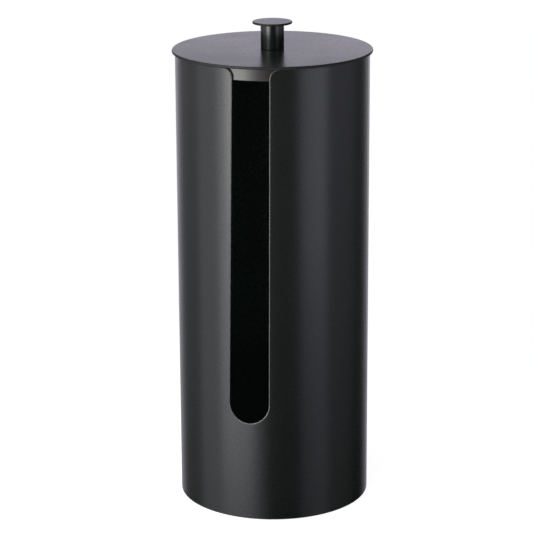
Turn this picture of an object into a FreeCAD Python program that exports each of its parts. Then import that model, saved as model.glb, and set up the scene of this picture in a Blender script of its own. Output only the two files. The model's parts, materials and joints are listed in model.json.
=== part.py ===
import FreeCAD, Part
import math
import os
import Sketcher

# Toilet roll storage holder: a slotted steel tube that stands on four pads, with a lift-off lid.
# Millimetres, +Z up. The slot faces -Y, and the origin is on the floor in the middle of the foot.

document = FreeCAD.newDocument("toilet_roll_holder")

# Driving sizes. A share has no unit: it is taken of the size that its comment names.
DRIVING_SIZES = [
    # Tube: rolled and welded sheet, outside diameter and length.
    ("tube_diameter", 140.0),
    ("tube_length", 332.8),
    ("tube_wall", 1.2),
    # Slot: clear width at its round lower end, and how much the open rim has sprung in.
    ("slot_width", 29.2),
    ("slot_closing", 2.6),
    # Sideways shift of the slot's middle line between its round end and the rim.
    ("slot_lean", 2.7),
    # Lowest point of the slot above the tube's lower edge, and the rounding where it meets the rim.
    ("slot_sill", 73.5),
    ("rim_corner_radius", 6.8),
    # Rounding of the rolled and pressed sheets' edges, as a share of the sheet's thickness.
    ("edge_round_share", 0.48),
    # Base: a pressed pan with an upright flange, set above the tube's lower edge.
    ("base_thickness", 1.2),
    ("base_recess", 2.0),
    ("base_flange", 8.0),
    ("base_bend_radius", 1.2),
    ("base_gap", 0.1),
    # Pads: glued under the base, in from its edge, and standing a little out of the tube.
    ("pad_diameter", 16.0),
    ("pad_inset", 8.7),
    ("pad_projection", 0.8),
    ("pad_chamfer", 0.5),
    # Lid: flat disc, with a ring under it that keeps it in the tube's mouth. The disc's edge
    # rounding is a share of its thickness.
    ("lid_overhang", 2.2),
    ("lid_thickness", 2.0),
    ("lid_round_share", 0.42),
    ("collar_depth", 8.8),
    ("collar_thickness", 0.8),
    ("collar_gap", 0.9),
    # Knob: turned stem under a flat disc. The disc's edge rounding is a share of its thickness.
    ("stem_diameter", 17.0),
    ("stem_height", 18.0),
    ("stem_chamfer", 0.3),
    ("head_diameter", 28.7),
    ("head_thickness", 1.6),
    ("head_round_share", 0.42),
    # Screw: thread size, its grip in the stem, and the pan head with its cross recess.
    ("thread_diameter", 5.0),
    ("thread_grip", 7.0),
    ("thread_gap", 0.05),
    ("tapping_run_out", 1.5),
    ("drill_tip_share", 0.6),
    ("screw_head_diameter", 9.5),
    ("screw_head_height", 3.1),
    ("screw_dome_share", 0.6),
    ("screw_tip_chamfer", 0.6),
    ("recess_length", 4.8),
    ("recess_width", 1.2),
    ("recess_depth", 1.7),
    # Washers between the screw's head and the lid, and the hole through them and the lid.
    ("screw_hole_gap", 0.25),
    ("washer_diameter", 10.0),
    ("washer_thickness", 1.0),
    ("lock_washer_diameter", 9.2),
    ("lock_washer_thickness", 1.2),
    ("lock_washer_slit", 0.8),
    # How far a cutting shape runs past what it cuts.
    ("overrun", 3.0),
]

# Pads stand at equal angles, the first one between the front and the right.
PAD_NODES = ["foot_pad_front_right", "foot_pad_back_right", "foot_pad_back_left", "foot_pad_front_left"]
PAD_FIRST_ANGLE = -45.0
FULL_TURN = 360.0

# Two shapes closer than this are taken as touching.
TOUCH_SHARE = 1e-5

# Sizes that several pieces share.
TUBE_OUTER = "Sizes.tube_diameter / 2"
TUBE_INNER = "(Sizes.tube_diameter / 2 - Sizes.tube_wall)"
BASE_OUTER = "(" + TUBE_INNER + " - Sizes.base_gap)"
COLLAR_OUTER = "(" + TUBE_INNER + " - Sizes.collar_gap)"
SCREW_HOLE = "(Sizes.thread_diameter / 2 + Sizes.screw_hole_gap)"
LID_UNDERSIDE = "(Sizes.pad_projection + Sizes.tube_length)"
LID_TOP = "(" + LID_UNDERSIDE + " + Sizes.lid_thickness)"
WASHER_STACK = "(Sizes.washer_thickness + Sizes.lock_washer_thickness)"


def make_sizes():
    """Writes the driving sizes into a sheet, each with an alias."""
    sheet = document.addObject("Spreadsheet::Sheet", "Sizes")
    for row, (alias, value) in enumerate(DRIVING_SIZES, start=1):
        sheet.set("A%d" % row, alias)
        sheet.set("B%d" % row, str(value))
        sheet.setAlias("B%d" % row, alias)
    document.recompute()
    return sheet


def make_body(node, height):
    """Starts a sub-part whose own zero lies at the given height above the floor."""
    body = document.addObject("PartDesign::Body", node)
    body.Label = node
    body.setExpression("Placement.Base.z", height)
    return body


def make_sketch(body, name, role):
    """Adds a sketch on one of the body's own origin planes."""
    sketch = body.newObject("Sketcher::SketchObject", name)
    planes = [feature for feature in body.Origin.OriginFeatures if feature.Role == role]
    sketch.AttachmentSupport = [(planes[0], "")]
    sketch.MapMode = "FlatFace"
    return sketch


def fix(sketch, kind, geometry, vertex, name, expression):
    """Ties a vertex's distance from the sketch's origin to an expression."""
    start = 0.0
    index = sketch.addConstraint(Sketcher.Constraint(kind, -1, 1, geometry, vertex, start))
    sketch.renameConstraint(index, name)
    sketch.setExpression("Constraints." + name, expression)


def fix_radius(sketch, geometry, name, expression):
    """Ties the radius of a circle or an arc to an expression."""
    index = sketch.addConstraint(Sketcher.Constraint("Radius", geometry, sketch.Geometry[geometry].Radius))
    sketch.renameConstraint(index, name)
    sketch.setExpression("Constraints." + name, expression)


def draw_circle(sketch, name, radius):
    """Draws a circle about the sketch's origin."""
    centre = FreeCAD.Vector()
    normal = FreeCAD.Vector(0, 0, 1)
    circle = sketch.addGeometry(Part.Circle(centre, normal, sizes.tube_diameter))
    sketch.addConstraint(Sketcher.Constraint("Coincident", circle, 3, -1, 1))
    fix_radius(sketch, circle, name, radius)


def draw_outline(sketch, corners):
    """Draws a closed outline of straight lines. Each corner is two expressions: across, and up."""
    count = len(corners)
    rough = []
    for index in range(count):
        angle = 2 * math.pi * index / count
        rough.append(FreeCAD.Vector(math.cos(angle), math.sin(angle), 0) * sizes.tube_diameter)
    for index in range(count):
        sketch.addGeometry(Part.LineSegment(rough[index], rough[(index + 1) % count]))
    for index, (across, up) in enumerate(corners):
        before = (index - 1) % count
        sketch.addConstraint(Sketcher.Constraint("Coincident", before, 2, index, 1))
        if across == "0":
            sketch.addConstraint(Sketcher.Constraint("PointOnObject", index, 1, -2))
        else:
            fix(sketch, "DistanceX", index, 1, "across_%d" % index, across)
        if up == "0":
            sketch.addConstraint(Sketcher.Constraint("PointOnObject", index, 1, -1))
        else:
            fix(sketch, "DistanceY", index, 1, "up_%d" % index, up)


def pad(body, sketch, name, length):
    """Raises a sketch into a solid."""
    feature = body.newObject("PartDesign::Pad", name)
    feature.Profile = sketch
    feature.setExpression("Length", length)
    document.recompute()
    return feature


def revolve(body, sketch, name):
    """Turns a half section about the Z axis."""
    feature = body.newObject("PartDesign::Revolution", name)
    feature.Profile = sketch
    feature.ReferenceAxis = (sketch, ["V_Axis"])
    feature.Angle = FULL_TURN
    document.recompute()
    return feature


def pocket(body, sketch, name, length):
    """Cuts a sketch along its own normal, and makes sure that material went."""
    whole = body.Tip.Shape.Volume
    feature = body.newObject("PartDesign::Pocket", name)
    feature.Profile = sketch
    feature.Reversed = True
    feature.setExpression("Length", length)
    document.recompute()
    if not feature.Shape.Volume < whole:
        raise RuntimeError(name + " cuts nothing")
    return feature


def dress(body, kind, name, wanted, size_name, expression):
    """Rounds or chamfers the edges of the body's last feature that wanted() accepts."""
    base = body.Tip
    edges = []
    for index, edge in enumerate(base.Shape.Edges, start=1):
        if wanted(edge):
            edges.append("Edge%d" % index)
    if not edges:
        raise RuntimeError(name + " finds no edge")
    feature = body.newObject("PartDesign::" + kind, name)
    feature.Base = (base, edges)
    feature.setExpression(size_name, expression)
    document.recompute()
    return feature


def near(value, target):
    """Tells whether two lengths are the same, within a small share of the tube's diameter."""
    return abs(value - target) < TOUCH_SHARE * sizes.tube_diameter


def ring_at(radius, height):
    """Picks the circular edge about Z of a given radius and height."""
    def wanted(edge):
        curve = edge.Curve
        if not isinstance(curve, Part.Circle):
            return False
        return near(curve.Radius, radius) and near(curve.Center.z, height)
    return wanted


def rings_at_radius(radius):
    """Picks every circular edge about Z of a given radius."""
    def wanted(edge):
        return isinstance(edge.Curve, Part.Circle) and near(edge.Curve.Radius, radius)
    return wanted


def make_tube_body():
    """Tube with a slot from the rim down to a round end. Its own zero is its lower edge."""
    body = make_body("tube_body", "Sizes.pad_projection")

    section = make_sketch(body, "tube_section", "XY_Plane")
    draw_circle(section, "outside", TUBE_OUTER)
    draw_circle(section, "inside", TUBE_INNER)
    pad(body, section, "tube_wall_pad", "Sizes.tube_length")

    outline = make_sketch(body, "slot_outline", "XZ_Plane")
    draw_slot(outline)
    pocket(body, outline, "slot_cut", "Sizes.tube_diameter / 2 + Sizes.overrun")

    outer = sizes.tube_diameter / 2
    inner = outer - sizes.tube_wall
    cut = body.Tip.Shape

    def sheet_edge(edge):
        seam = len(cut.ancestorsOfType(edge, Part.Face)) == 1
        middle = edge.valueAt((edge.FirstParameter + edge.LastParameter) / 2)
        radius = math.hypot(middle.x, middle.y)
        return not seam and (near(radius, outer) or near(radius, inner))

    rounding = "Sizes.tube_wall * Sizes.edge_round_share"
    dress(body, "Fillet", "sheet_edges", sheet_edge, "Radius", rounding)


def draw_slot(sketch):
    """Slot seen from the front: a round lower end, sides that lean and close, and rounded rim corners."""
    end_radius = sizes.slot_width / 2
    end_height = sizes.slot_sill + end_radius
    corner = sizes.rim_corner_radius
    rim = sizes.tube_length
    top = rim + sizes.overrun
    side = end_radius
    wide = side + corner

    def line(start, stop):
        return sketch.addGeometry(Part.LineSegment(FreeCAD.Vector(*start), FreeCAD.Vector(*stop)))

    def arc(across, up, radius, start_angle, stop_angle):
        circle = Part.Circle(FreeCAD.Vector(across, up, 0), FreeCAD.Vector(0, 0, 1), radius)
        return sketch.addGeometry(Part.ArcOfCircle(circle, start_angle, stop_angle))

    end = arc(0, end_height, end_radius, math.pi, 2 * math.pi)
    right_side = line((side, end_height, 0), (side, rim - corner, 0))
    right_corner = arc(wide, rim - corner, corner, math.pi / 2, math.pi)
    right_run_out = line((wide, rim, 0), (wide, top, 0))
    run_out_top = line((wide, top, 0), (-wide, top, 0))
    left_run_out = line((-wide, top, 0), (-wide, rim, 0))
    left_corner = arc(-wide, rim - corner, corner, 0, math.pi / 2)
    left_side = line((-side, rim - corner, 0), (-side, end_height, 0))

    join = [
        ("Tangent", end, 2, right_side, 1),
        ("Tangent", right_side, 2, right_corner, 2),
        ("Coincident", right_corner, 1, right_run_out, 1),
        ("Coincident", right_run_out, 2, run_out_top, 1),
        ("Coincident", run_out_top, 2, left_run_out, 1),
        ("Coincident", left_run_out, 2, left_corner, 2),
        ("Tangent", left_corner, 1, left_side, 1),
        ("Tangent", left_side, 2, end, 1),
        ("Vertical", right_corner, 3, right_corner, 1),
        ("Vertical", left_corner, 3, left_corner, 2),
    ]
    for kind, first, first_point, second, second_point in join:
        sketch.addConstraint(Sketcher.Constraint(kind, first, first_point, second, second_point))
    sketch.addConstraint(Sketcher.Constraint("Vertical", right_run_out))
    sketch.addConstraint(Sketcher.Constraint("Vertical", left_run_out))
    sketch.addConstraint(Sketcher.Constraint("Horizontal", run_out_top))

    fix_radius(sketch, end, "end_radius", "Sizes.slot_width / 2")
    fix_radius(sketch, right_corner, "right_corner_radius", "Sizes.rim_corner_radius")
    fix_radius(sketch, left_corner, "left_corner_radius", "Sizes.rim_corner_radius")
    half_spread = "((Sizes.slot_width - Sizes.slot_closing) / 2 + Sizes.rim_corner_radius)"
    fix(sketch, "DistanceX", end, 3, "end_across", "-Sizes.slot_lean / 2")
    fix(sketch, "DistanceY", end, 3, "end_up", "Sizes.slot_sill + Sizes.slot_width / 2")
    fix(sketch, "DistanceX", right_corner, 1, "right_across", "Sizes.slot_lean / 2 + " + half_spread)
    fix(sketch, "DistanceX", left_corner, 2, "left_across", "Sizes.slot_lean / 2 - " + half_spread)
    fix(sketch, "DistanceY", right_corner, 1, "right_up", "Sizes.tube_length")
    fix(sketch, "DistanceY", left_corner, 2, "left_up", "Sizes.tube_length")
    fix(sketch, "DistanceY", run_out_top, 1, "run_out_up", "Sizes.tube_length + Sizes.overrun")


def make_base_plate():
    """Pan whose upright flange is welded inside the tube's foot. Its own zero is its underside."""
    body = make_body("base_plate", "Sizes.pad_projection + Sizes.base_recess")
    sketch = make_sketch(body, "pan_section", "XZ_Plane")
    flange_inner = BASE_OUTER + " - Sizes.base_thickness"
    draw_outline(sketch, [
        ("0", "0"),
        (BASE_OUTER, "0"),
        (BASE_OUTER, "Sizes.base_flange"),
        (flange_inner, "Sizes.base_flange"),
        (flange_inner, "Sizes.base_thickness"),
        ("0", "Sizes.base_thickness"),
    ])
    revolve(body, sketch, "pan")
    outer = sizes.tube_diameter / 2 - sizes.tube_wall - sizes.base_gap
    inner = outer - sizes.base_thickness
    bend_inside = ring_at(inner, sizes.base_thickness)
    dress(body, "Fillet", "bend_inside", bend_inside, "Radius", "Sizes.base_bend_radius")
    bend_outside = "Sizes.base_bend_radius + Sizes.base_thickness"
    dress(body, "Fillet", "bend_outside", ring_at(outer, 0), "Radius", bend_outside)

    def flange_edge(edge):
        return near(edge.BoundBox.ZMin, sizes.base_flange) and isinstance(edge.Curve, Part.Circle)

    rounding = "Sizes.base_thickness * Sizes.edge_round_share"
    dress(body, "Fillet", "flange_edge", flange_edge, "Radius", rounding)


def make_foot_pads():
    """Round pads glued under the base. Their own zero is on the floor."""
    reach = "(" + BASE_OUTER + " - Sizes.pad_inset - Sizes.pad_diameter / 2)"
    for index, node in enumerate(PAD_NODES):
        angle = PAD_FIRST_ANGLE + FULL_TURN * index / len(PAD_NODES)
        body = make_body(node, "0")
        body.setExpression("Placement.Base.x", reach + " * cos(%g)" % angle)
        body.setExpression("Placement.Base.y", reach + " * sin(%g)" % angle)
        sketch = make_sketch(body, node + "_section", "XY_Plane")
        draw_circle(sketch, "outside", "Sizes.pad_diameter / 2")
        pad(body, sketch, node + "_pad", "Sizes.pad_projection + Sizes.base_recess")
        lower_edge = ring_at(sizes.pad_diameter / 2, 0)
        dress(body, "Chamfer", node + "_chamfer", lower_edge, "Size", "Sizes.pad_chamfer")


def make_lid_plate():
    """Flat disc that lies on the tube's rim, with the knob's screw hole in its middle."""
    body = make_body("lid_plate", LID_UNDERSIDE)
    sketch = make_sketch(body, "lid_section", "XY_Plane")
    draw_circle(sketch, "outside", TUBE_OUTER + " + Sizes.lid_overhang")
    draw_circle(sketch, "hole", SCREW_HOLE)
    pad(body, sketch, "lid_disc", "Sizes.lid_thickness")
    rim = rings_at_radius(sizes.tube_diameter / 2 + sizes.lid_overhang)
    dress(body, "Fillet", "lid_edge", rim, "Radius", "Sizes.lid_thickness * Sizes.lid_round_share")


def make_lid_collar():
    """Plain rolled ring, welded under the lid by its upper edge. Its own zero is its lower edge."""
    body = make_body("lid_collar", LID_UNDERSIDE + " - Sizes.collar_depth")
    sketch = make_sketch(body, "collar_section", "XY_Plane")
    draw_circle(sketch, "outside", COLLAR_OUTER)
    draw_circle(sketch, "inside", COLLAR_OUTER + " - Sizes.collar_thickness")
    pad(body, sketch, "ring", "Sizes.collar_depth")

    def lower_edge(edge):
        return near(edge.BoundBox.ZMax, 0)

    rounding = "Sizes.collar_thickness * Sizes.edge_round_share"
    dress(body, "Fillet", "ring_lower_edge", lower_edge, "Radius", rounding)


def make_knob_stem():
    """Turned stem with a tapped blind hole from below. Its own zero is its lower face."""
    body = make_body("knob_stem", LID_TOP)
    sketch = make_sketch(body, "stem_section", "XZ_Plane")
    hole = "(Sizes.thread_diameter / 2 + Sizes.thread_gap)"
    depth = "Sizes.thread_grip + Sizes.tapping_run_out"
    draw_outline(sketch, [
        (hole, "0"),
        ("Sizes.stem_diameter / 2", "0"),
        ("Sizes.stem_diameter / 2", "Sizes.stem_height"),
        ("0", "Sizes.stem_height"),
        ("0", depth + " + " + hole + " * Sizes.drill_tip_share"),
        (hole, depth),
    ])
    revolve(body, sketch, "stem")
    lower_edge = ring_at(sizes.stem_diameter / 2, 0)
    dress(body, "Chamfer", "stem_lower_edge", lower_edge, "Size", "Sizes.stem_chamfer")


def make_knob_head():
    """Flat disc welded on the stem."""
    body = make_body("knob_head", LID_TOP + " + Sizes.stem_height")
    sketch = make_sketch(body, "head_section", "XY_Plane")
    draw_circle(sketch, "outside", "Sizes.head_diameter / 2")
    pad(body, sketch, "head_disc", "Sizes.head_thickness")
    rounding = "Sizes.head_thickness * Sizes.head_round_share"
    dress(body, "Fillet", "head_edge", rings_at_radius(sizes.head_diameter / 2), "Radius", rounding)


def make_knob_screw():
    """Pan head screw, pointing up from under the lid. Its own zero is its head's crown."""
    body = make_body("knob_screw", LID_UNDERSIDE + " - " + WASHER_STACK + " - Sizes.screw_head_height")
    sketch = make_sketch(body, "screw_section", "XZ_Plane")
    shank = "Sizes.thread_diameter / 2"
    tip = "Sizes.screw_head_height + " + WASHER_STACK + " + Sizes.lid_thickness + Sizes.thread_grip"
    draw_outline(sketch, [
        ("0", "0"),
        ("Sizes.screw_head_diameter / 2", "0"),
        ("Sizes.screw_head_diameter / 2", "Sizes.screw_head_height"),
        (shank, "Sizes.screw_head_height"),
        (shank, tip),
        ("0", tip),
    ])
    revolve(body, sketch, "screw")
    stack = sizes.washer_thickness + sizes.lock_washer_thickness
    tip_height = sizes.screw_head_height + stack + sizes.lid_thickness + sizes.thread_grip
    crown = ring_at(sizes.screw_head_diameter / 2, 0)
    dress(body, "Fillet", "crown", crown, "Radius", "Sizes.screw_head_height * Sizes.screw_dome_share")
    tip_edge = ring_at(sizes.thread_diameter / 2, tip_height)
    dress(body, "Chamfer", "tip", tip_edge, "Size", "Sizes.screw_tip_chamfer")

    cross = make_sketch(body, "recess_outline", "XY_Plane")
    far = "Sizes.recess_length / 2"
    close = "Sizes.recess_width / 2"
    draw_outline(cross, [
        (far, "-" + close),
        (far, close),
        (close, close),
        (close, far),
        ("-" + close, far),
        ("-" + close, close),
        ("-" + far, close),
        ("-" + far, "-" + close),
        ("-" + close, "-" + close),
        ("-" + close, "-" + far),
        (close, "-" + far),
        (close, "-" + close),
    ])
    pocket(body, cross, "recess", "Sizes.recess_depth")


def make_flat_washer():
    """Washer against the lid's underside."""
    body = make_body("flat_washer", LID_UNDERSIDE + " - Sizes.washer_thickness")
    sketch = make_sketch(body, "washer_section", "XY_Plane")
    draw_circle(sketch, "outside", "Sizes.washer_diameter / 2")
    draw_circle(sketch, "hole", SCREW_HOLE)
    pad(body, sketch, "washer", "Sizes.washer_thickness")


def make_lock_washer():
    """Split spring washer, pressed flat under the screw's head."""
    body = make_body("lock_washer", LID_UNDERSIDE + " - " + WASHER_STACK)
    sketch = make_sketch(body, "spring_section", "XY_Plane")
    draw_circle(sketch, "outside", "Sizes.lock_washer_diameter / 2")
    draw_circle(sketch, "hole", SCREW_HOLE)
    pad(body, sketch, "spring", "Sizes.lock_washer_thickness")
    slit = make_sketch(body, "slit_outline", "XY_Plane")
    half = "Sizes.lock_washer_slit / 2"
    reach = "Sizes.lock_washer_diameter / 2 + Sizes.overrun"
    draw_outline(slit, [
        ("0", "-" + half),
        (reach, "-" + half),
        (reach, half),
        ("0", half),
    ])
    pocket(body, slit, "slit", "Sizes.lock_washer_thickness + Sizes.overrun")


def check_document():
    """Stops if any object failed, or if a sub-part isn't one valid solid."""
    document.recompute()
    for item in document.Objects:
        if "Invalid" in item.State or "Error" in item.State:
            raise RuntimeError(item.Name + " failed")
    for body in document.findObjects("PartDesign::Body"):
        shape = body.Shape
        if shape.isNull() or not shape.isValid() or len(shape.Solids) != 1:
            raise RuntimeError(body.Label + " isn't one valid solid")


def write_steps():
    """Writes each sub-part to its own file."""
    os.makedirs("parts", exist_ok=True)
    for body in document.findObjects("PartDesign::Body"):
        body.Shape.exportStep("parts/" + body.Label + ".step")
        box = body.Shape.BoundBox
        print("%s: %.1f mm3, z %.2f to %.2f" % (body.Label, body.Shape.Volume, box.ZMin, box.ZMax))


sizes = make_sizes()
make_tube_body()
make_base_plate()
make_foot_pads()
make_lid_plate()
make_lid_collar()
make_knob_stem()
make_knob_head()
make_knob_screw()
make_flat_washer()
make_lock_washer()
check_document()
write_steps()
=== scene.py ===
import json
import math

import bpy
from mathutils import Matrix, Vector


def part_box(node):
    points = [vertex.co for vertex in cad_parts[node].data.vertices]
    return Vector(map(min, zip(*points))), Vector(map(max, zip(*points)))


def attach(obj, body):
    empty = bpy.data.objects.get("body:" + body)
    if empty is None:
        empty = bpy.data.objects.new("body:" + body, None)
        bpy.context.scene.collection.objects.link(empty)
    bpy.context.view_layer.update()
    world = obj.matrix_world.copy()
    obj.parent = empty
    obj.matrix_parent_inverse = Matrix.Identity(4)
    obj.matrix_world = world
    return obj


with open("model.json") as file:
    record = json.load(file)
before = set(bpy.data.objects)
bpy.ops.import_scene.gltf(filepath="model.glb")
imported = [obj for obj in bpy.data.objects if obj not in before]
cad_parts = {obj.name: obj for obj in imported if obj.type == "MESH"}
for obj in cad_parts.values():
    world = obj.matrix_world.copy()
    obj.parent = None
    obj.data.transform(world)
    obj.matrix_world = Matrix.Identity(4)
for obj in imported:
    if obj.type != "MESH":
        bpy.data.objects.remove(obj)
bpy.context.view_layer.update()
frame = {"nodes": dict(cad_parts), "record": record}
nodes = frame["nodes"]

# Camera, as fitted to the outline in the photograph: metres, degrees, and millimetres where named so.
CAMERA_AZIMUTH = 13.92
CAMERA_DISTANCE = 1.5429
CAMERA_HEIGHT = 0.6208
CAMERA_YAW = -0.187
CAMERA_PITCH = 16.226
CAMERA_ROLL = -0.296
CAMERA_LENS_MM = 147.13
SENSOR_MM = 36.0

# Colours of each finish, at the two ends of its grain. The inside colours are painted light on the inside
# of the tube, palest deep down, where little light reaches. The edge colours are a painted highlight on
# the slot's rounded edge. The collar's black is paler and warmer than the tube's: painted light where the
# key lights it through the slot.
BLACK = [(0.0040, 0.0047, 0.0044), (0.0075, 0.0084, 0.0080)]
COLLAR_PAINTED_LIGHT = [(0.019, 0.016, 0.014), (0.029, 0.026, 0.024)]
INSIDE_PAINTED_LIGHT = [(0.027, 0.041, 0.037), (0.041, 0.061, 0.055)]
DEEP_PAINTED_LIGHT = [(0.058, 0.088, 0.080), (0.084, 0.126, 0.114)]
EDGE_HIGHLIGHT_PAINT = [(0.16, 0.16, 0.16), (0.26, 0.26, 0.25)]
ZINC = [(0.55, 0.57, 0.60), (0.68, 0.69, 0.70)]
RUBBER = [(0.012, 0.012, 0.012), (0.022, 0.022, 0.021)]

# Mean roughness of the powder coat on each surface, what a disc's cut edge adds to it, and what the
# coat's clouds and grit add to it or take away.
COAT_ROUGHNESS = 0.27
DISC_ROUGHNESS = 0.28
COLLAR_ROUGHNESS = 0.24
STEM_ROUGHNESS = 0.16
EDGE_ROUGHNESS = 0.30
CLOUD_ROUGHNESS = 0.015
GRIT_ROUGHNESS = 0.012

# Depth of the powder coat's grit, in metres. It is shallower on the lid and on the knob's head.
GRIT_DEPTH = 0.0000038
DISC_GRIT_DEPTH = 0.0000012

# Where nearly all of a noise's values lie.
NOISE_RANGE = (0.3, 0.7)

# How far a part of a surface faces away from the tube's axis, as a cosine. The slot's rounded edge is
# between the tube's outside, at 1, and the cut through the sheet, at 0, and gets its painted highlight
# mostly in its middle.
HIGHLIGHT_TOWARDS_CUT = (0.10, 0.45)
HIGHLIGHT_TOWARDS_OUTSIDE = (0.70, 0.97)

# How far a part of a disc faces up, as a cosine, from its cut edge to its top.
DISC_EDGE_TO_TOP = (0.5, 0.95)

# Studio. Brightness is given as three colours, where 1 is white: below the table's height, level
# with it, and above it. The walls brighten the room around one azimuth, counted from the camera's
# side: azimuth in degrees, reach and core as cosines, and the three colours. The backdrop is what
# gloss shows of the white background behind the object, at any height. The table is what gloss shows
# straight below.
ROOM = [(0.0, 0.0, 0.0), (0.16, 0.17, 0.16), (0.08, 0.10, 0.08)]
TABLE = (0.20, 0.20, 0.20)
WALLS = [
    (-93, 0.52, 1.0, [(0.10, 0.11, 0.10), (0.64, 0.60, 0.70), (0.0, 0.0, 0.0)]),
    (81, 0.76, 1.0, [(0.11, 0.13, 0.07), (0.60, 0.56, 0.78), (0.0, 0.0, 0.0)]),
]
BACKDROP = (-178, 0.72, 0.975, [(0.56, 0.54, 0.62), (1.36, 1.31, 1.46), (0.22, 0.21, 0.25)])

# Heights between which the studio changes, as sines of the elevation: from the table straight below
# to the room's low part, from there to its level part, and from there to its high part.
TABLE_TO_LOW = (-0.85, -0.55)
LOW_TO_LEVEL = (-0.42, -0.05)
LEVEL_TO_HIGH = (-0.04, 0.14)

# Softboxes: name, azimuths from the camera's side in degrees, heights in metres, distance from
# the object's axis, brightness where 1 is white, and colour. The lid's top mirrors the one behind.
SOFTBOXES = [
    ("key", (-64, -22), (-0.45, 0.45), 1.30, 2.2, (1.0, 1.0, 1.05)),
    ("key_core", (-54, -30), (-0.10, 0.65), 1.30, 3.7, (1.0, 1.0, 0.90)),
    ("key_wide", (-97, -11), (-0.75, 1.20), 1.35, 0.7, (1.0, 1.0, 1.10)),
    ("fill", (31, 64), (-0.20, 0.60), 1.30, 0.84, (1.0, 1.0, 1.17)),
    ("fill_low", (33, 67), (-0.75, 0.40), 1.35, 0.32, (1.0, 1.0, 1.20)),
    ("back", (144, 216), (0.36, 0.475), 0.50, 0.87, (1.0, 0.96, 1.13)),
]

# Softboxes above the camera's side, which the rounded edges show and which light the inside
# through the slot: name, azimuth and elevation in degrees, distance, width and depth in metres,
# brightness and colour.
OVERHEAD = [
    ("overhead", -50, 60, 1.40, 1.00, 0.90, 3.2, (1.0, 1.0, 1.0)),
    ("overhead_front", 2, 36, 1.40, 0.35, 1.10, 0.5, (1.0, 1.0, 1.0)),
]

# Floor: half its width in metres, its colour under the studio's light, how brightly it glows for the
# camera, and the distances between which it turns plain white.
FLOOR_REACH = 3.0
FLOOR_GREY = (0.5, 0.5, 0.5)
FLOOR_GLOW = 0.92
FLOOR_FADE = (0.15, 0.45)

# Sizes of the object that the pieces below go by, in metres. FOOT is the tube's lower edge, from
# which the camera's height is measured. PAN_GAP is between the base pan's flange and the tube, SHEET
# is the thickness of both, and BORE is the tube's inner radius.
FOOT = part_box("tube_body")[0].z
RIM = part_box("tube_body")[1].z
TUBE_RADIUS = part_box("tube_body")[1].x
PAN_LOW, PAN_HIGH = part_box("base_plate")
COLLAR_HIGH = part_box("lid_collar")[1]
PAN_GAP = 0.0001
SHEET = 0.0012
COLLAR_SHEET = 0.0008
BORE = PAN_HIGH.x + PAN_GAP

# Stretches over which the tube's coat and the floor change, in metres: the radii at which the tube's
# inside turns into its cut edge, the heights over which the painted light inside the tube fades, the
# heights above which the slot's edge gets its painted highlight, and the radii, under the tube's edge,
# at which the floor starts to glow; inside them the glow stops, which paints a contact shadow.
INSIDE_TO_CUT = (BORE + 0.0001, BORE + 0.0004)
DEEP_TO_OPEN = (FOOT + 0.03, FOOT + 0.16)
FOOT_EDGE = (FOOT + 0.002, FOOT + 0.004)
GLOW_START = (TUBE_RADIUS - 0.0024, TUBE_RADIUS - 0.0018)


def direction(azimuth, elevation):
    """Unit vector from the object towards a place in the studio. Azimuth 0 is the camera's side."""
    turn = math.radians(CAMERA_AZIMUTH + azimuth)
    rise = math.radians(elevation)
    level = math.cos(rise)
    return Vector((math.sin(turn) * level, -math.cos(turn) * level, math.sin(rise)))


def make_camera():
    """Pinhole camera at the photograph's place."""
    yaw = math.radians(CAMERA_YAW)
    pitch = math.radians(CAMERA_PITCH)
    roll = math.radians(CAMERA_ROLL)
    level = math.cos(pitch)
    forward = Vector((math.sin(yaw) * level, math.cos(yaw) * level, -math.sin(pitch)))
    level_right = forward.cross(Vector((0, 0, 1))).normalized()
    level_up = level_right.cross(forward)
    right = math.cos(roll) * level_right + math.sin(roll) * level_up
    up = -math.sin(roll) * level_right + math.cos(roll) * level_up
    turn = Matrix.Rotation(math.radians(CAMERA_AZIMUTH), 4, "Z")
    axes = Matrix((right, up, -forward)).transposed().to_4x4()
    place = Matrix.Translation((0, -CAMERA_DISTANCE, CAMERA_HEIGHT + FOOT))
    data = bpy.data.cameras.new("camera")
    data.lens = CAMERA_LENS_MM
    data.sensor_width = SENSOR_MM
    camera = bpy.data.objects.new("camera", data)
    bpy.context.scene.collection.objects.link(camera)
    camera.matrix_world = turn @ place @ axes
    bpy.context.scene.camera = camera


# Materials


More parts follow.
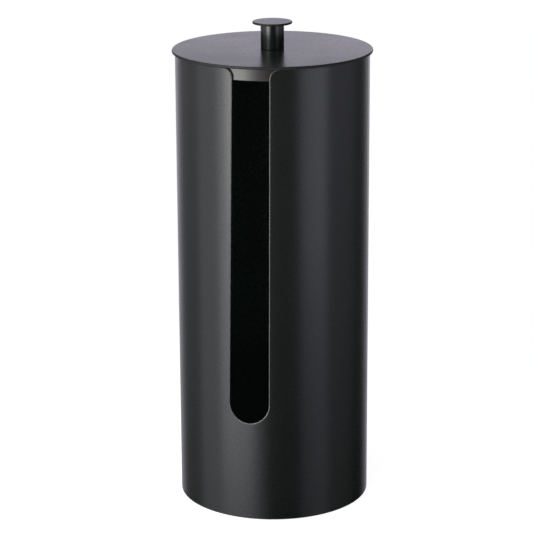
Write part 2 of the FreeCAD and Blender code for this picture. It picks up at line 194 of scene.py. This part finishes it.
class Nodes:
    """Short names for building one node tree."""

    def __init__(self, tree):
        self.tree = tree

    def add(self, kind, **values):
        node = self.tree.nodes.new(kind)
        for name, value in values.items():
            setattr(node, name, value)
        return node

    def find(self, kind):
        return [node for node in self.tree.nodes if node.bl_idname == kind][0]

    def link(self, source, target):
        self.tree.links.new(source, target)

    def give(self, value, target):
        """Links a socket to an input, or sets the input to a vector or a colour."""
        if isinstance(value, bpy.types.NodeSocket):
            self.link(value, target)
        else:
            target.default_value = value

    def noise(self, coordinates, scale, detail):
        """Noise from 0 to 1. Its scale is about its number of features in a metre."""
        node = self.add("ShaderNodeTexNoise")
        node.inputs["Scale"].default_value = scale
        node.inputs["Detail"].default_value = detail
        self.link(coordinates, node.inputs["Vector"])
        return node.outputs["Fac"]

    def spread(self, value, low, high, over=NOISE_RANGE):
        """Goes from low to high while the value goes over a range, and stays there outside it."""
        node = self.add("ShaderNodeMapRange")
        node.inputs["From Min"].default_value = over[0]
        node.inputs["From Max"].default_value = over[1]
        node.inputs["To Min"].default_value = low
        node.inputs["To Max"].default_value = high
        self.link(value, node.inputs["Value"])
        return node.outputs["Result"]

    def mix(self, factor, first, second, blend="MIX"):
        """Colour between two others, each a socket or three numbers."""
        node = self.add("ShaderNodeMix", data_type="RGBA", blend_type=blend)
        self.link(factor, node.inputs["Factor"])
        for colour, name in ((first, "A"), (second, "B")):
            value = (*colour, 1) if isinstance(colour, tuple) else colour
            self.give(value, node.inputs[name])
        return node.outputs["Result"]

    def bump(self, height, distance, normal=None):
        """Relief of a depth in metres, on top of another one where that is given."""
        node = self.add("ShaderNodeBump")
        node.inputs["Strength"].default_value = 1.0
        node.inputs["Distance"].default_value = distance
        self.link(height, node.inputs["Height"])
        if normal:
            self.link(normal, node.inputs["Normal"])
        return node.outputs["Normal"]

    def combine(self, operation, first, second):
        """Number worked out from two others."""
        node = self.add("ShaderNodeMath", operation=operation)
        self.link(first, node.inputs[0])
        self.link(second, node.inputs[1])
        return node.outputs[0]

    def vector(self, operation, first, second=None):
        """Vector, length or cosine worked out from one vector or two, the second a socket or not."""
        node = self.add("ShaderNodeVectorMath", operation=operation)
        self.link(first, node.inputs[0])
        if second is not None:
            self.give(second, node.inputs[1])
        return node.outputs["Value" if operation in ("DOT_PRODUCT", "LENGTH") else "Vector"]

    def upward(self, vector):
        """The Z of a vector."""
        node = self.add("ShaderNodeSeparateXYZ")
        self.link(vector, node.inputs["Vector"])
        return node.outputs["Z"]


def new_nodes(owner):
    """Turns on the nodes of a material or world, and clears them."""
    owner.use_nodes = True
    owner.node_tree.nodes.clear()
    return Nodes(owner.node_tree)


def new_material(name):
    """New material, the builder of its nodes, its shader, and the place on the object."""
    material = bpy.data.materials.new(name)
    build = new_nodes(material)
    shader = build.add("ShaderNodeBsdfPrincipled")
    output = build.add("ShaderNodeOutputMaterial")
    build.link(shader.outputs["BSDF"], output.inputs["Surface"])
    place = build.add("ShaderNodeTexCoord").outputs["Object"]
    return material, build, shader, place


def reopened(material):
    """Builder of a material's own nodes, its shader, and its node of coordinates."""
    build = Nodes(material.node_tree)
    return build, build.find("ShaderNodeBsdfPrincipled"), build.find("ShaderNodeTexCoord")


def powder_coat(name, roughness, grit_depth=GRIT_DEPTH, colours=BLACK):
    """Satin powder coat: a fine grit, a faint flow of the paint, and a little unevenness in gloss.

    roughness is its mean, grit_depth is in metres, and the grain varies between the two colours.
    """
    material, build, shader, place = new_material(name)
    grain = build.noise(place, scale=2600, detail=2)
    grit = build.noise(place, scale=800, detail=2)
    flow = build.noise(place, scale=240, detail=3)
    cloud = build.noise(place, scale=28, detail=3)
    build.link(build.mix(build.spread(grain, 0, 1), *colours), shader.inputs["Base Color"])
    clouded = build.spread(cloud, roughness - CLOUD_ROUGHNESS, roughness + CLOUD_ROUGHNESS)
    gritty = build.spread(grit, -GRIT_ROUGHNESS, GRIT_ROUGHNESS)
    build.link(build.combine("ADD", clouded, gritty), shader.inputs["Roughness"])
    relief = build.bump(flow, distance=0.00002)
    relief = build.bump(grit, distance=grit_depth, normal=relief)
    relief = build.bump(grain, distance=0.00001, normal=relief)
    build.link(relief, shader.inputs["Normal"])
    shader.inputs["IOR"].default_value = 1.5
    return material


def mottle(build, place):
    """Uneven patches, from 0 to 1, in the painted light inside the tube and the painted highlight on the
    slot's edge.
    """
    return build.spread(build.noise(place, scale=700, detail=2), 0, 1)


def painted_inside_light(build, place):
    """Painted light inside the tube: a coat paler than the black outside, palest deep down, where little
    light reaches.
    """
    patches = mottle(build, place)
    deep = build.spread(build.upward(place), 1, 0, over=DEEP_TO_OPEN)
    return build.mix(deep, build.mix(patches, *INSIDE_PAINTED_LIGHT), build.mix(patches, *DEEP_PAINTED_LIGHT))


def seam_coat():
    """The same painted light inside the tube, on the weld bead."""
    material = powder_coat("coat_seam", COAT_ROUGHNESS)
    build, shader, coordinates = reopened(material)
    build.link(painted_inside_light(build, coordinates.outputs["Object"]), shader.inputs["Base Color"])
    return material


def tube_coat():
    """The tube's powder coat, with a painted highlight along the slot's rounded edge and painted light
    inside the tube.
    """
    material = powder_coat("coat_tube", COAT_ROUGHNESS)
    build, shader, coordinates = reopened(material)
    black = shader.inputs["Base Color"].links[0].from_socket
    place = coordinates.outputs["Object"]
    outwards = build.vector("MULTIPLY", place, (1, 1, 0))
    inside = build.spread(build.vector("LENGTH", outwards), 1, 0, over=INSIDE_TO_CUT)
    # Painted light inside the tube, palest deep down.
    colour = build.mix(inside, black, painted_inside_light(build, place))
    way = build.vector("NORMALIZE", outwards)
    facing = build.vector("DOT_PRODUCT", way, coordinates.outputs["Normal"])
    off_outside = build.spread(facing, 1, 0, over=HIGHLIGHT_TOWARDS_OUTSIDE)
    off_cut = build.spread(facing, 0, 1, over=HIGHLIGHT_TOWARDS_CUT)
    rounded = build.combine("MULTIPLY", off_outside, off_cut)
    above_foot = build.spread(build.upward(place), 0, 1, over=FOOT_EDGE)
    edge = build.combine("MULTIPLY", rounded, above_foot)
    # Painted highlight: a paler coat on the slot's rounded edge, for the light that the edge catches.
    painted_highlight = build.mix(mottle(build, place), *EDGE_HIGHLIGHT_PAINT)
    build.link(build.mix(edge, colour, painted_highlight), shader.inputs["Base Color"])
    return material


def disc_coat(name):
    """Powder coat of the lid and of the knob's head, duller on the disc's cut edge."""
    material = powder_coat(name, DISC_ROUGHNESS, DISC_GRIT_DEPTH)
    build, shader, coordinates = reopened(material)
    even = shader.inputs["Roughness"].links[0].from_socket
    up = build.upward(coordinates.outputs["Normal"])
    duller = build.spread(up, EDGE_ROUGHNESS, 0, over=DISC_EDGE_TO_TOP)
    build.link(build.combine("ADD", even, duller), shader.inputs["Roughness"])
    return material


def zinc_steel():
    """Bright zinc plating with fine drawing marks."""
    material, build, shader, place = new_material("zinc_steel")
    marks = build.noise(place, scale=3000, detail=3)
    cloud = build.noise(place, scale=500, detail=3)
    build.link(build.mix(build.spread(cloud, 0, 1), *ZINC), shader.inputs["Base Color"])
    build.link(build.spread(marks, low=0.24, high=0.40), shader.inputs["Roughness"])
    build.link(build.bump(marks, distance=0.000008), shader.inputs["Normal"])
    shader.inputs["Metallic"].default_value = 1.0
    return material


def pad_rubber():
    """Matt foamed rubber, full of small pores."""
    material, build, shader, place = new_material("pad_rubber")
    pores = build.noise(place, scale=2200, detail=2)
    cloud = build.noise(place, scale=160, detail=3)
    build.link(build.mix(build.spread(cloud, 0, 1), *RUBBER), shader.inputs["Base Color"])
    build.link(build.spread(pores, low=0.78, high=0.95), shader.inputs["Roughness"])
    build.link(build.bump(pores, distance=0.00008), shader.inputs["Normal"])
    return material


def dress_nodes():
    """Gives each CAD node a finish of its own, or else the one that its slot names."""
    finishes = {
        "powder_coat": powder_coat("coat", COAT_ROUGHNESS),
        "zinc_steel": zinc_steel(),
        "pad_rubber": pad_rubber(),
    }
    own = {
        "tube_body": tube_coat(),
        "lid_plate": disc_coat("coat_lid"),
        "knob_head": disc_coat("coat_head"),
        # The collar's paler, warmer black is painted light, where the key lights it through the slot.
        "lid_collar": powder_coat("coat_collar", COLLAR_ROUGHNESS, colours=COLLAR_PAINTED_LIGHT),
        "knob_stem": powder_coat("coat_stem", STEM_ROUGHNESS),
    }
    for row in frame["record"]["subparts"]:
        node = nodes[row["node"]]
        node.data.materials.clear()
        node.data.materials.append(own.get(row["node"], finishes[row["material_slot"]]))


# Welds


def add_piece(name, vertices, faces, body, material):
    """Smooth-shaded mesh that rides on one body of the object."""
    mesh = bpy.data.meshes.new(name)
    mesh.from_pydata(vertices, [], faces)
    mesh.polygons.foreach_set("use_smooth", [True] * len(mesh.polygons))
    mesh.materials.append(material)
    piece = bpy.data.objects.new(name, mesh)
    bpy.context.scene.collection.objects.link(piece)
    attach(piece, body)


def make_seam(material):
    """Weld bead down the inside of the tube's back, where the rolled sheet's two edges meet.

    Its ripples are crescents, one pitch apart, and its ends fade out over the length of one ripple.
    """
    half_width = 0.0017
    crown = 0.00035
    sunk = 0.00008
    ripple = 0.00007
    pitch = 0.0017
    crescent = 0.45
    across = 8
    ripple_rows = 5
    above_pan = 0.0010
    below_rim = 0.0020
    step = pitch / ripple_rows
    first = PAN_HIGH.z + above_pan
    rows = int((RIM - below_rim - first) / step)
    vertices = []
    for row in range(rows + 1):
        height = first + row * step
        fade = min(1, row / ripple_rows, (rows - row) / ripple_rows)
        for column in range(across + 1):
            u = 2 * column / across - 1
            wave = (height / pitch + crescent * u * u) % 1
            rise = (crown + ripple * wave) * (1 - u * u) * fade - sunk * u * u - sunk * (1 - fade)
            radius = BORE - rise
            turn = u * half_width / BORE
            vertices.append((radius * math.sin(turn), radius * math.cos(turn), height))
    faces = []
    for row in range(rows):
        for column in range(across):
            corner = row * (across + 1) + column
            faces.append((corner, corner + 1, corner + across + 2, corner + across + 1))
    add_piece("seam_weld", vertices, faces, "holder", material)


def make_spot_welds(name, places, body, material):
    """Shallow craters that spot welding leaves in an upright sheet.

    Each place is a point on the sheet and its level normal. The profile of a crater is a list of
    radii and heights.
    """
    profile = [
        (0.0, 0.00003),
        (0.0008, 0.00004),
        (0.0014, 0.00010),
        (0.0019, 0.00014),
        (0.0023, 0.00008),
        (0.0027, -0.00006),
    ]
    sides = 20
    vertices = []
    faces = []
    for centre, normal in places:
        sideways = normal.cross(Vector((0, 0, 1))).normalized()
        upwards = normal.cross(sideways)
        start = len(vertices)
        vertices.append(tuple(centre + normal * profile[0][1]))
        for radius, height in profile[1:]:
            for side in range(sides):
                turn = 2 * math.pi * side / sides
                rim = sideways * math.cos(turn) + upwards * math.sin(turn)
                vertices.append(tuple(centre + rim * radius + normal * height))
        for side in range(sides):
            following = (side + 1) % sides
            faces.append((start, start + 1 + side, start + 1 + following))
            for ring in range(len(profile) - 2):
                inner = start + 1 + ring * sides
                outer = inner + sides
                faces.append((inner + side, outer + side, outer + following, inner + following))
    add_piece(name, vertices, faces, body, material)


def make_tack_welds(name, count, radius, height, body, material):
    """Short fillet welds in the corner between a ring's inside and the plate above it.

    throat is how far the fillet's hollow middle reaches, as a share of its legs.
    """
    leg = 0.0016
    length = 0.0090
    sunk = 0.00006
    ripple = 0.05
    ripple_steps = 4
    throat = 0.80
    steps = 24
    across = 6
    vertices = []
    faces = []
    for weld in range(count):
        middle = 2 * math.pi * (weld + 0.5) / count
        start = len(vertices)
        for step in range(steps + 1):
            u = 2 * step / steps - 1
            turn = middle + u * length / 2 / radius
            wave = 1 + ripple * math.sin(2 * math.pi * step / ripple_steps)
            size = leg * wave * math.sqrt(max(0.0, 1 - abs(u) ** 3))
            for column in range(across + 1):
                v = math.pi / 2 * column / across
                reach = size * (throat + (1 - throat) * abs(math.cos(2 * v)))
                out = radius + sunk - reach * math.cos(v)
                up = height + sunk - reach * math.sin(v)
                vertices.append((out * math.sin(turn), out * math.cos(turn), up))
        for step in range(steps):
            for column in range(across):
                corner = start + step * (across + 1) + column
                faces.append((corner, corner + across + 1, corner + across + 2, corner + 1))
    add_piece(name, vertices, faces, body, material)


def make_welds():
    """Seam of the tube, spot welds of the base, and tack welds of the lid's collar."""
    spots = 12
    tacks = 8
    above_middle = 0.0008
    coat = powder_coat("coat_welds", COAT_ROUGHNESS)
    make_seam(seam_coat())
    turns = [2 * math.pi * (k + 0.5) / spots for k in range(spots)]
    outward = [Vector((math.sin(turn), math.cos(turn), 0)) for turn in turns]
    wall = PAN_HIGH.x - SHEET
    height = (PAN_LOW.z + SHEET + PAN_HIGH.z) / 2 + above_middle
    places = [(way * wall + Vector((0, 0, height)), -way) for way in outward]
    make_spot_welds("base_spot_welds", places, "holder", coat)
    collar_bore = COLLAR_HIGH.x - COLLAR_SHEET
    make_tack_welds("collar_tack_welds", tacks, collar_bore, COLLAR_HIGH.z, "lid", coat)


# Studio


def make_floor():
    """Pale floor that keeps the object's shadow near the foot and turns plain white further out.

    Under the tube it has no glow of its own, so the gap that the pads leave is dark: a painted contact
    shadow, on top of the real shadow in its diffuse part. Gloss doesn't show it, because the softboxes
    reach below it.
    """
    mesh = bpy.data.meshes.new("floor")
    far = FLOOR_REACH
    mesh.from_pydata([(-far, -far, 0), (far, -far, 0), (far, far, 0), (-far, far, 0)], [], [(0, 1, 2, 3)])
    floor = bpy.data.objects.new("floor", mesh)
    bpy.context.scene.collection.objects.link(floor)
    material = bpy.data.materials.new("floor")
    build = new_nodes(material)
    output = build.add("ShaderNodeOutputMaterial")
    diffuse = build.add("ShaderNodeBsdfDiffuse")
    diffuse.inputs["Color"].default_value = (*FLOOR_GREY, 1)
    glow = build.add("ShaderNodeEmission")
    near = build.add("ShaderNodeAddShader")
    white = build.add("ShaderNodeEmission")
    near_far = build.add("ShaderNodeMixShader")
    path = build.add("ShaderNodeLightPath")
    place = build.add("ShaderNodeTexCoord").outputs["Object"]
    radius = build.vector("LENGTH", place)
    # No glow under the tube's edge: a painted contact shadow.
    open_floor = build.spread(radius, 0, FLOOR_GLOW, over=GLOW_START)
    seen = build.combine("MULTIPLY", path.outputs["Is Camera Ray"], open_floor)
    build.link(seen, glow.inputs["Strength"])
    build.link(diffuse.outputs[0], near.inputs[0])
    build.link(glow.outputs[0], near.inputs[1])
    build.link(build.spread(radius, 0, 1, over=FLOOR_FADE), near_far.inputs["Fac"])
    build.link(near.outputs[0], near_far.inputs[1])
    build.link(white.outputs[0], near_far.inputs[2])
    build.link(near_far.outputs[0], output.inputs["Surface"])
    mesh.materials.append(material)
    floor.visible_glossy = False
    floor.visible_shadow = False


def make_world():
    """White background for the camera, for gloss and for glass, in a dim studio.

    The camera sees the background all round. Gloss shows it where it stands, behind the object, and
    shows the studio elsewhere, which is nearly dark on the camera's side.
    """
    world = bpy.data.worlds.new("studio")
    bpy.context.scene.world = world
    build = new_nodes(world)
    output = build.add("ShaderNodeOutputWorld")
    background = build.add("ShaderNodeBackground")
    studio = build.add("ShaderNodeBackground")
    chosen = build.add("ShaderNodeMixShader")
    path = build.add("ShaderNodeLightPath")
    place = build.add("ShaderNodeTexCoord").outputs["Generated"]
    height = build.upward(place)
    level = build.spread(height, 0, 1, over=LOW_TO_LEVEL)
    above = build.spread(height, 0, 1, over=LEVEL_TO_HIGH)

    def by_height(colours):
        low, middle, high = colours
        return build.mix(above, build.mix(level, low, middle), high)

    def around(azimuth, reach, core, way):
        near = build.vector("DOT_PRODUCT", way, direction(azimuth, 0))
        return build.spread(near, 0, 1, over=(reach, core))

    light = build.mix(build.spread(height, 1, 0, over=TABLE_TO_LOW), by_height(ROOM), TABLE)
    for azimuth, reach, core, colours in WALLS:
        wall = around(azimuth, reach, core, place)
        light = build.mix(wall, light, by_height(colours), blend="ADD")
    build.link(light, studio.inputs["Color"])

    azimuth, reach, core, colours = BACKDROP
    compass = build.vector("NORMALIZE", build.vector("MULTIPLY", place, (1, 1, 0)))
    behind = around(azimuth, reach, core, compass)
    straight = build.combine("MAXIMUM", path.outputs["Is Camera Ray"], path.outputs["Is Transmission Ray"])
    gloss = build.combine("MULTIPLY", path.outputs["Is Glossy Ray"], behind)
    white = (1, 1, 1)
    build.link(build.mix(straight, by_height(colours), white), background.inputs["Color"])
    build.link(build.combine("MAXIMUM", straight, gloss), chosen.inputs["Fac"])
    build.link(studio.outputs[0], chosen.inputs[1])
    build.link(background.outputs[0], chosen.inputs[2])
    build.link(chosen.outputs[0], output.inputs["Surface"])


def area_light(name, width, height, radiance, colour, side, location):
    """Rectangular light that shines against the way of side, where a radiance of 1 is white."""
    data = bpy.data.lights.new(name, "AREA")
    data.shape = "RECTANGLE"
    data.size = width
    data.size_y = height
    data.energy = radiance * math.pi * width * height
    data.color = colour
    light = bpy.data.objects.new(name, data)
    bpy.context.scene.collection.objects.link(light)
    light.location = location
    light.rotation_euler = side.to_track_quat("Z", "Y").to_euler()
    light.visible_camera = False


def make_lights():
    """Softboxes: tall ones on both sides, a low one close behind the object, and two overhead."""
    for name, (first, last), (low, high), distance, radiance, colour in SOFTBOXES:
        width = 2 * distance * math.tan(math.radians(last - first) / 2)
        side = direction((first + last) / 2, 0)
        place = side * distance + Vector((0, 0, (low + high) / 2))
        area_light(name, width, high - low, radiance, colour, side, place)
    middle = Vector((0, 0, (FOOT + RIM) / 2))
    for name, azimuth, elevation, distance, width, depth, radiance, colour in OVERHEAD:
        side = direction(azimuth, elevation)
        area_light(name, width, depth, radiance, colour, side, middle + side * distance)


dress_nodes()
make_welds()
make_floor()
make_world()
make_lights()
make_camera()

scene = bpy.context.scene
scene.view_settings.view_transform = "Standard"
